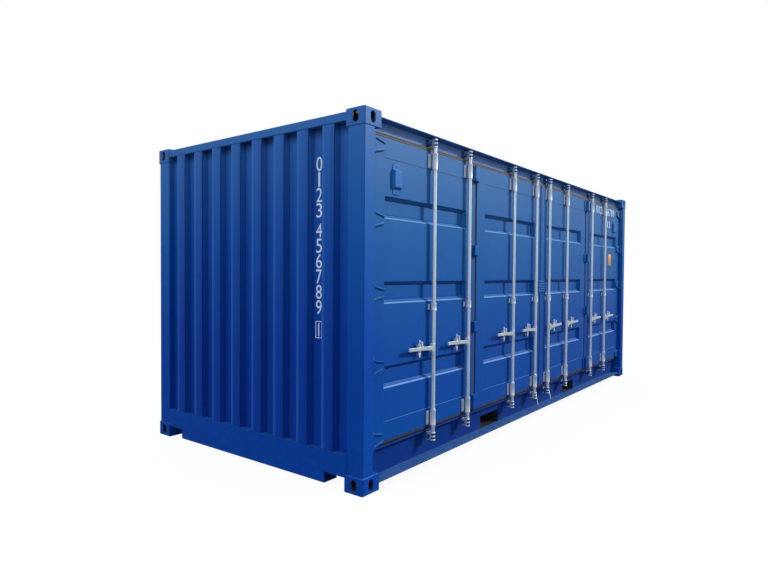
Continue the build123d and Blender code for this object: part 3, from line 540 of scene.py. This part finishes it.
# Seals
# Black rubber extrusions close the gaps between the leaves and the frame, with soft lips
# towards the outside. They have bleached to taupe at the head and to grey between the leaves.
RUBBER_PALE = ink(108, 101, 98)
RUBBER_GREY = ink(64, 68, 82)
RUBBER_FOOT = ink(66, 60, 64)
RUBBER_DARK = ink(22, 24, 32)
GAP_EDGES = [span("left_door_post", 0)[1], *(x for leaf in LEAVES for x in leaf)]
GAP_EDGES.append(span("right_door_post", 0)[0])
HEAD_SEAL = span("upper_seal", 2)
FOOT_SEAL = span("lower_seal", 2)
HEAD_SHADOW = (HEAD_SEAL[0] - 0.002, HEAD_SEAL[0] + 0.0065)
FOOT_SHADOW = (FOOT_SEAL[0] - 0.001, FOOT_SEAL[0] + 0.0075)
SEAL_BLEND = 0.001
SEAL_FACE = span("upright_seals", 1)[0]
BAND_FACE = span("upper_seal", 1)[0]
LIP_RISE = 0.003
LIP_ROOT = 0.002
LIP_EDGE = 0.0012
LIP_HALF = 0.0028
LIP_INSET = 0.004
BAND_LIP_HALF = 0.0025
BAND_LIP_INSET = 0.005

rubber, place = new_material("rubber")
height = place.along(2)
grain = noise(place, 90.0, 4.0)
above_foot = height.between(FOOT_SEAL[1] - SEAL_BLEND, FOOT_SEAL[1] + SEAL_BLEND)
at_head = height.between(HEAD_SEAL[0] - SEAL_BLEND, HEAD_SEAL[0] + SEAL_BLEND)
band = above_foot.mix(RUBBER_FOOT, at_head.mix(RUBBER_GREY, RUBBER_PALE))
shadow_line = within(height, *HEAD_SHADOW) + within(height, *FOOT_SHADOW)
band = (shadow_line * 0.85).mix(band, RUBBER_DARK)
band = (grain.between(0.45, 0.8) * 0.35).mix(band, RUBBER_DARK)
finish_material(
    place,
    Base_Color=band,
    Roughness=grain * 0.2 + 0.62,
    Specular_IOR_Level=0.25,
    Normal=bump(grain, 0.3, 0.001),
)
dress(rubber, "upright_seals", "lower_seal", "upper_seal")

work = bmesh.new()
for left, right in zip(GAP_EDGES[::2], GAP_EDGES[1::2]):
    for x in (left + LIP_INSET, right - LIP_INSET):
        depth = (SEAL_FACE - LIP_RISE, SEAL_FACE + LIP_ROOT)
        upright = (LEAF_LOW_Z + LIP_ROOT, LEAF_HIGH_Z - LIP_ROOT)
        slab(work, (x - LIP_HALF, x + LIP_HALF), depth, upright, LIP_EDGE)
for z in (HEAD_SEAL[1] - BAND_LIP_INSET, FOOT_SEAL[0] + BAND_LIP_INSET, FOOT_SEAL[1] - BAND_LIP_INSET):
    depth = (BAND_FACE - LIP_RISE, BAND_FACE + LIP_ROOT)
    slab(work, span("upper_seal", 0), depth, (z - BAND_LIP_HALF, z + BAND_LIP_HALF), LIP_EDGE)
piece("seal_lips", "container", rubber, work)


# Lock rods
# Hot dip zinc coated steel tubes. The coat is pale and satin, faintly spangled, and a little
# brighter on the drawn tube than on the forged hubs, cams and handles.
ROD_X = [joint["pos_m"][0] for joint in frame["joints"]]
ROD_Y = frame["joints"][0]["pos_m"][1]
ROD_Z = span("lock_rod_1", 2)
ROD_R = 0.0158
ROD_SKIN = 0.0002
EASE = 0.001
COLLAR_R = 0.0192
COLLAR_HEIGHT = 0.010
COLLAR_GAP_HIGH = 0.002
COLLAR_GAP_LOW = 0.001
UPPER_BEARING = span("upper_bearings", 2)
LOWER_BEARING = span("lower_bearings", 2)
GUIDE = span("middle_guides", 2)
CAMS = (sum(span("lower_keepers", 2)) / 2, sum(span("upper_keepers", 2)) / 2)
CAM_RING_R = 0.0205
CAM_RING_HALF = 0.006
CAM_RING_EDGE = 0.002
WAIST = 0.014
WAIST_HALF = 0.0075
PAINTED_SHADE_BLUE = ink(24, 66, 140)
HUB_Z = 0.915
HUB_R = 0.0195
HUB_FRONT = ROD_Y - HUB_R
PIVOT_OUT = 0.022
PIVOT_BACK = 0.0085
PIVOT_R = 0.007
PIVOT_HALF = 0.0355
ROD_FINISH = (ink(186, 200, 206), ink(214, 225, 230), 0.60, 0.34)
TUBE_FINISH = (ink(200, 212, 218), ink(230, 238, 242), 0.60, 0.30)
CAST_FINISH = (ink(208, 216, 224), ink(234, 238, 242), 0.42, 0.42)
OXIDE = ink(232, 234, 230)
ROUND_STEPS = 32
PIN_STEPS = 16
SAME_PLACE = 0.00001


def coat(name, dark, light, metallic, rough, extra=None):
    """Zinc with cloudy crystals and a bloom of white oxide."""
    material, place = new_material(name)
    crystals = place.node("ShaderNodeTexVoronoi", (), {"Vector": place, "Scale": 240.0}, output="Color")
    spangle = crystals.along(0) * 0.3 + noise(place, 26.0, 3.0) * 0.3 + 0.2
    bloom = noise(place.stretched(1.0, 1.0, 0.3), 9.0, 5.0).between(0.45, 0.8)
    colour = (bloom * 0.22).mix(spangle.between(0.15, 0.85).mix(dark, light), OXIDE)
    if extra:
        colour = extra(place, colour)
    finish_material(
        place,
        Base_Color=colour,
        Metallic=metallic - bloom * 0.25,
        Roughness=spangle * 0.12 + bloom * 0.12 + rough,
        Normal=bump(spangle, 0.05, 0.0005, 0.003),
    )
    return material


def painted_waist_shade(place, colour):
    """Painted shade: a dark blue band in the waists between the rings of each cam."""
    height = place.along(2)
    for middle in CAMS:
        for gap in (middle - WAIST, middle + WAIST):
            colour = within(height, gap - WAIST_HALF, gap + WAIST_HALF).mix(colour, PAINTED_SHADE_BLUE)
    return colour


def turned(work, profile, centre, steps=ROUND_STEPS):
    """Adds a round shape standing at a centre, from its radii and heights."""
    corners = [work.verts.new((centre[0] + radius, centre[1], z)) for radius, z in profile]
    lines = [work.edges.new(pair) for pair in zip(corners, corners[1:])]
    turn = {"cent": (*centre, 0.0), "axis": (0.0, 0.0, 1.0), "angle": math.tau, "steps": steps}
    bmesh.ops.spin(work, geom=corners + lines, use_merge=True, **turn)
    bmesh.ops.remove_doubles(work, verts=work.verts, dist=SAME_PLACE)


def eased(inner, outer, low, high, edge=EASE):
    """The section of a round piece with eased rims. It is solid where inner is 0."""
    profile = [(inner, low), (outer - edge, low), (outer, low + edge)]
    return profile + [(outer, high - edge), (outer - edge, high), (inner, high)]


rod_zinc = coat("rod_zinc", *ROD_FINISH)
tube_zinc = coat("tube_zinc", *TUBE_FINISH, painted_waist_shade)
cast_zinc = coat("cast_zinc", *CAST_FINISH)
for number, x in enumerate(ROD_X, start=1):
    dress(rod_zinc, f"lock_rod_{number}")
    tube = bmesh.new()
    turned(tube, eased(0.0, ROD_R, ROD_Z[0] - ROD_SKIN, ROD_Z[1] + ROD_SKIN), (x, ROD_Y))
    for foot in (UPPER_BEARING[0] - COLLAR_GAP_HIGH - COLLAR_HEIGHT, LOWER_BEARING[1] + COLLAR_GAP_LOW):
        turned(tube, eased(ROD_R - EASE, COLLAR_R, foot, foot + COLLAR_HEIGHT), (x, ROD_Y))
    for middle in CAMS:
        for z in (middle - 2 * WAIST, middle, middle + 2 * WAIST):
            ends = (z - CAM_RING_HALF, z + CAM_RING_HALF)
            turned(tube, eased(ROD_R - EASE, CAM_RING_R, *ends, CAM_RING_EDGE), (x, ROD_Y))
    piece(f"rod_tube_{number}", f"rod_{number}", tube_zinc, tube)

    pivot = bmesh.new()
    place = (x + math.copysign(PIVOT_OUT, x), HUB_FRONT + PIVOT_BACK)
    turned(pivot, eased(0.0, PIVOT_R, HUB_Z - PIVOT_HALF, HUB_Z + PIVOT_HALF), place, PIN_STEPS)
    piece(f"handle_pivot_{number}", f"rod_{number}", cast_zinc, pivot)


# Bearings, guides and retainers
# Pressed saddles are bolted to the leaves, each with a sleeve round the rod that shows as a near
# white bar with a raised ring at each end. Pressed retainers hold the handles.
SLEEVE_R = 0.0208
RING_R = 0.0213
RING = 0.010
SADDLE_THICK = 0.006
SADDLE_FRONT = DOOR_FACE - SADDLE_THICK
BOLT_R = 0.0075
BOLT_TAPER = 0.86
GUIDE_BOLT_R = BOLT_R * 0.9
BOLT_RISE = 0.005
BOLT_WAYS = (-0.034, 0.034)
BOLT_HEIGHTS = (-0.036, 0.036)
GUIDE_BOLT_WAYS = (-0.026, 0.026)
SLEEVE_GAP = 0.0002
SLEEVE_OVER = 0.0006
RING_EDGE = 0.0012
WEB_HALF = 0.014


def bolt_head(work, x, y, z, radius, rise):
    """Adds a six sided bolt head that looks out of the doors."""
    place = Matrix.Translation((x, y - rise / 2, z)) @ Matrix.Rotation(math.pi / 2, 4, "X")
    sizes = {"radius1": radius * BOLT_TAPER, "radius2": radius, "depth": rise}
    bmesh.ops.create_cone(work, cap_ends=True, segments=6, matrix=place, **sizes)


def sleeve(work, x, bearing):
    """Adds a sleeve with a ring at each end, round a rod and over its bearing."""
    inner = ROD_R + SLEEVE_GAP
    low, high = bearing[0] - SLEEVE_OVER, bearing[1] + SLEEVE_OVER
    shape = [(inner, low), (RING_R - RING_EDGE, low), (RING_R, low + RING_EDGE), (RING_R, low + RING)]
    shape += [(SLEEVE_R, low + RING + EASE), (SLEEVE_R, high - RING - EASE)]
    shape += [(RING_R, high - RING), (RING_R, high - RING_EDGE), (RING_R - RING_EDGE, high), (inner, high)]
    turned(work, shape, (x, ROD_Y))


def painted_saddle_shade(place, colour):
    """Painted shade: a dark blue band on the web of each saddle, behind its rod."""
    across = place.along(0).size()
    for x in ROD_X[len(ROD_X) // 2:]:
        colour = within(across, x - WEB_HALF, x + WEB_HALF).mix(colour, PAINTED_SHADE_BLUE)
    return colour


saddle_zinc = coat("saddle_zinc", *CAST_FINISH, painted_saddle_shade)
dress(saddle_zinc, "upper_bearings", "lower_bearings", "middle_guides")
dress(cast_zinc, "handle_retainers")
sleeves = bmesh.new()
bolts = bmesh.new()
for x in ROD_X:
    for bearing in (UPPER_BEARING, LOWER_BEARING):
        sleeve(sleeves, x, bearing)
        for across in BOLT_WAYS:
            for rise in BOLT_HEIGHTS:
                bolt_head(bolts, x + across, SADDLE_FRONT, sum(bearing) / 2 + rise, BOLT_R, BOLT_RISE)
    sleeve(sleeves, x, GUIDE)
    for across in GUIDE_BOLT_WAYS:
        bolt_head(bolts, x + across, SADDLE_FRONT, sum(GUIDE) / 2, GUIDE_BOLT_R, BOLT_RISE)
piece("rod_sleeves", "container", cast_zinc, sleeves)
piece("bearing_bolts", "container", cast_zinc, bolts)


# Keepers
# Forged blocks welded to the sill and the header, which hold the hooked cams of the rods. They
# are sprayed with the leaves.
dress(leaf_paint, "upper_keepers", "lower_keepers")


# Hinges
# Forged hinges carry the leaves at the posts and where they fold, painted with the leaves. At
# the posts each hinge pin ends above and below in a low head.
HINGE_COUNT = 5
HINGE_REACH = 0.067
PIN_X = 2.897
PIN_Y = -1.190
PIN_R = 0.0105
PIN_HEAD = 0.007
PIN_EDGE = 0.0015

dress(leaf_paint, "left_post_hinges", "right_post_hinges", "left_fold_hinges", "right_fold_hinges")
pins = bmesh.new()
low, high = span("left_post_hinges", 2)
pitch = (high - low - 2 * HINGE_REACH) / (HINGE_COUNT - 1)
for side in (-1, 1):
    for step in range(HINGE_COUNT):
        z = low + HINGE_REACH + step * pitch
        for foot in (z - HINGE_REACH - PIN_HEAD, z + HINGE_REACH):
            shape = eased(0.0, PIN_R, foot, foot + PIN_HEAD, PIN_EDGE)
            turned(pins, shape, (side * PIN_X, PIN_Y), PIN_STEPS)
piece("hinge_pins", "container", leaf_paint, pins)


# Vents
# Moulded covers near the outer posts, a slightly lighter blue than the leaves. They are open
# underneath, so that air passes and rain doesn't, and a screw holds the tab at each end.
VENT_TONES = (ink(30, 100, 180), ink(40, 112, 188), ink(64, 126, 192))
VENT_X = (-2.611, 2.611)
VENT_Z = sum(span("vents", 2)) / 2
TAB_RISE = 0.092
TAB_THICK = 0.004
SCREW_R = 0.006
SCREW_RISE = 0.003

vent_paint = paint("vent_paint", VENT_TONES, soft_edge=0.006)
dress(vent_paint, "vents")
screws = bmesh.new()
for x in VENT_X:
    for z in (VENT_Z - TAB_RISE, VENT_Z + TAB_RISE):
        bolt_head(screws, x, DOOR_FACE - TAB_THICK, z, SCREW_R, SCREW_RISE)
piece("vent_screws", "container", vent_paint, screws)


# Bare plate
# A bare brass coloured plate riveted to the last leaf. The metal is brushed along its length
# and slightly tarnished at the rim.
PLATE_X = (2.390, 2.526)
PLATE_Z = (1.622, 1.780)
PLATE_THICK = 0.002
PLATE_ROOT = 0.001
PLATE_EDGE = 0.0007
PLATE_RIM = (0.045, 0.068)
RIVET_INSET = 0.010
RIVET_R = 0.0035
RIVET_RISE = 0.0015
BRASS_DARK = ink(196, 142, 58)
BRASS_LIGHT = ink(226, 178, 92)
TARNISH = ink(120, 84, 40)

brass, place = new_material("brass")
brushed = noise(place.stretched(4.0, 4.0, 260.0), 1.0, 3.0)
tarnish = noise(place, 28.0, 4.0).between(0.5, 0.8)
rim = (place.along(0) - sum(PLATE_X) / 2).size().between(*PLATE_RIM)
brass_colour = brushed.between(0.25, 0.75).mix(BRASS_DARK, BRASS_LIGHT)
brass_colour = (tarnish * 0.3 + rim * 0.35).mix(brass_colour, TARNISH)
finish_material(
    place,
    Base_Color=brass_colour,
    Metallic=0.55,
    Roughness=brushed * 0.2 + 0.35,
    Normal=bump(brushed, 0.2, 0.0005),
)
plate = bmesh.new()
slab(plate, PLATE_X, (DOOR_FACE - PLATE_THICK, DOOR_FACE + PLATE_ROOT), PLATE_Z, PLATE_EDGE)
for x in (PLATE_X[0] + RIVET_INSET, PLATE_X[1] - RIVET_INSET):
    for z in (PLATE_Z[0] + RIVET_INSET, PLATE_Z[1] - RIVET_INSET):
        bolt_head(plate, x, DOOR_FACE - PLATE_THICK, z, RIVET_R, RIVET_RISE)
piece("bare_plate", "container", brass, plate)


# Numbers
# White film digits run down the left end wall and stand in two lines on the last leaf. They
# are plain numbers, cut from thin sheet and laid flat on the paint.
FILM_DULL = ink(226, 234, 246)
FILM_CLEAN = ink(246, 248, 252)
FILM = 0.0006
FILM_ROOT = 0.0002
END_SHEET = 0.002
VALLEY_X = span("left_end_wall", 0)[1] - END_SHEET
COLUMN_Y = FIRST_RIB + RIB_PITCH / 2
COLUMN_TOP = 2.314
GLYPH_HEIGHT = 0.101
GLYPH_WIDTH = 0.056
GLYPH_GAP = 0.0085
GROUP_GAP = 0.032
LEAST_WIDTH = 0.30
LAST_DROP = 0.155
LAST_SIZE = (GLYPH_WIDTH * 0.55, GLYPH_HEIGHT * 0.9)
LAST_RISE = 0.008
BOX_HALF = 0.029
BOX_RISES = (-0.004, 0.112)
BOX_LINE = 0.0025
LINES = (("0123456789", 1.885, 0.0815, 2.318, 0.106), ("12", 2.345, 0.085, 2.154, 0.094))
LINE_FILL = (0.72, 0.9)


def glyph(character):
    """The flat mesh of one character, about 0 in X and from 0 up in Y, and its sizes."""
    curve = bpy.data.curves.new("glyph", "FONT")
    curve.body = character
    curve.extrude = FILM / 2
    held = bpy.data.objects.new("glyph", curve)
    scene.collection.objects.link(held)
    bpy.context.view_layer.update()
    mesh = bpy.data.meshes.new_from_object(held)
    bpy.data.objects.remove(held)
    xs = [corner.co.x for corner in mesh.vertices]
    ys = [corner.co.y for corner in mesh.vertices]
    shift = Matrix.Translation((-(min(xs) + max(xs)) / 2, -min(ys), 0.0))
    mesh.transform(shift)
    return mesh, max(xs) - min(xs), max(ys) - min(ys)


def write(work, character, width, height, foot, across, face_out):
    """Adds a character over the middle of its foot, drawn across one way and looking another."""
    mesh, wide, tall = glyph(character)
    wide = max(wide, LEAST_WIDTH)
    up = Vector((0.0, 0.0, 1.0))
    turn = Matrix((across, up, face_out)).transposed().to_4x4()
    sizes = Matrix.Diagonal((width / wide, height / tall, 1.0, 1.0))
    mesh.transform(Matrix.Translation(foot) @ turn @ sizes)
    work.from_mesh(mesh)
    bpy.data.meshes.remove(mesh)


film_white, place = new_material("film_white")
wear = noise(place, 50.0, 5.0)
film_colour = wear.between(0.3, 0.75).mix(FILM_DULL, FILM_CLEAN)
wear_normal = bump(wear, 0.1, 0.0003)
finish_material(place, Base_Color=film_colour, Roughness=wear * 0.2 + 0.35, Normal=wear_normal)
numbers = bmesh.new()
across, out = Vector((0.0, -1.0, 0.0)), Vector((-1.0, 0.0, 0.0))
z = COLUMN_TOP
for character in "0123 456789":
    if character == " ":
        z -= GROUP_GAP
        continue
    z -= GLYPH_HEIGHT
    foot = (VALLEY_X - FILM / 2, COLUMN_Y, z)
    write(numbers, character, GLYPH_WIDTH, GLYPH_HEIGHT, foot, across, out)
    z -= GLYPH_GAP
z -= LAST_DROP
write(numbers, "1", *LAST_SIZE, (VALLEY_X - FILM / 2, COLUMN_Y, z + LAST_RISE), across, out)
depth = (VALLEY_X - FILM, VALLEY_X + FILM_ROOT)
low, high = (z + rise for rise in BOX_RISES)
for y in (COLUMN_Y - BOX_HALF, COLUMN_Y + BOX_HALF):
    slab(numbers, depth, (y - BOX_LINE, y + BOX_LINE), (low, high))
reach = BOX_HALF + BOX_LINE
for edge_z in (low, high):
    slab(numbers, depth, (COLUMN_Y - reach, COLUMN_Y + reach), (edge_z - BOX_LINE, edge_z + BOX_LINE))

across, out = Vector((1.0, 0.0, 0.0)), Vector((0.0, -1.0, 0.0))
for characters, start_x, pitch, line_z, tall in LINES:
    for step, character in enumerate(characters):
        foot = (start_x + step * pitch, DOOR_FACE - FILM / 2, line_z)
        write(numbers, character, pitch * LINE_FILL[0], tall * LINE_FILL[1], foot, across, out)
piece("numbers", "container", film_white, numbers)


# Tie strips
# Two white plastic strips are left where a seal was cut off, one on the keeper under the fourth
# rod and one round the cam of the fifth, which it follows. They hang forwards in a slack curve.
STRIP_WIDTH = 0.009
STRIP_THICK = 0.0012
STRIP_Y = -1.2125
STRIP_SAG = (0.004, 0.012)
STRIP_LEAN = 0.3
STRIP_DULL = ink(214, 220, 226)
STRIP_CLEAN = ink(240, 242, 244)
STRIPS = (
    ("keeper_tie_strip", "container", (-0.160, 0.232), (-0.112, 0.104)),
    ("cam_tie_strip", "rod_5", (0.192, 0.214), (0.236, 0.118)),
)

plastic, place = new_material("white_plastic")
haze = noise(place, 70.0)
finish_material(
    place,
    Base_Color=haze.mix(STRIP_DULL, STRIP_CLEAN),
    Roughness=haze * 0.2 + 0.35,
    Specular_IOR_Level=0.4,
)
for strip_name, held_by, (start_x, start_z), (end_x, end_z) in STRIPS:
    ribbon = bmesh.new()
    bmesh.ops.create_grid(ribbon, x_segments=1, y_segments=12, size=0.5)
    for corner in ribbon.verts:
        share = corner.co.y + 0.5
        across_strip = corner.co.x * STRIP_WIDTH
        bow = math.sin(share * math.pi)
        corner.co.x = start_x + (end_x - start_x) * share + across_strip
        corner.co.y = STRIP_Y + STRIP_SAG[0] * bow
        corner.co.z = start_z + (end_z - start_z) * share + STRIP_SAG[1] * bow + across_strip * STRIP_LEAN
    bmesh.ops.solidify(ribbon, geom=list(ribbon.faces), thickness=STRIP_THICK)
    piece(strip_name, held_by, plastic, ribbon)


# Sun on the part
# The sun reaches everything but the floor sheet, so the sheet stays pale and even.
lit_by_sun = bpy.data.collections.new("lit_by_sun")
for thing in scene.objects:
    if thing.type == "MESH" and thing != studio_floor:
        lit_by_sun.objects.link(thing)
sun.light_linking.receiver_collection = lit_by_sun
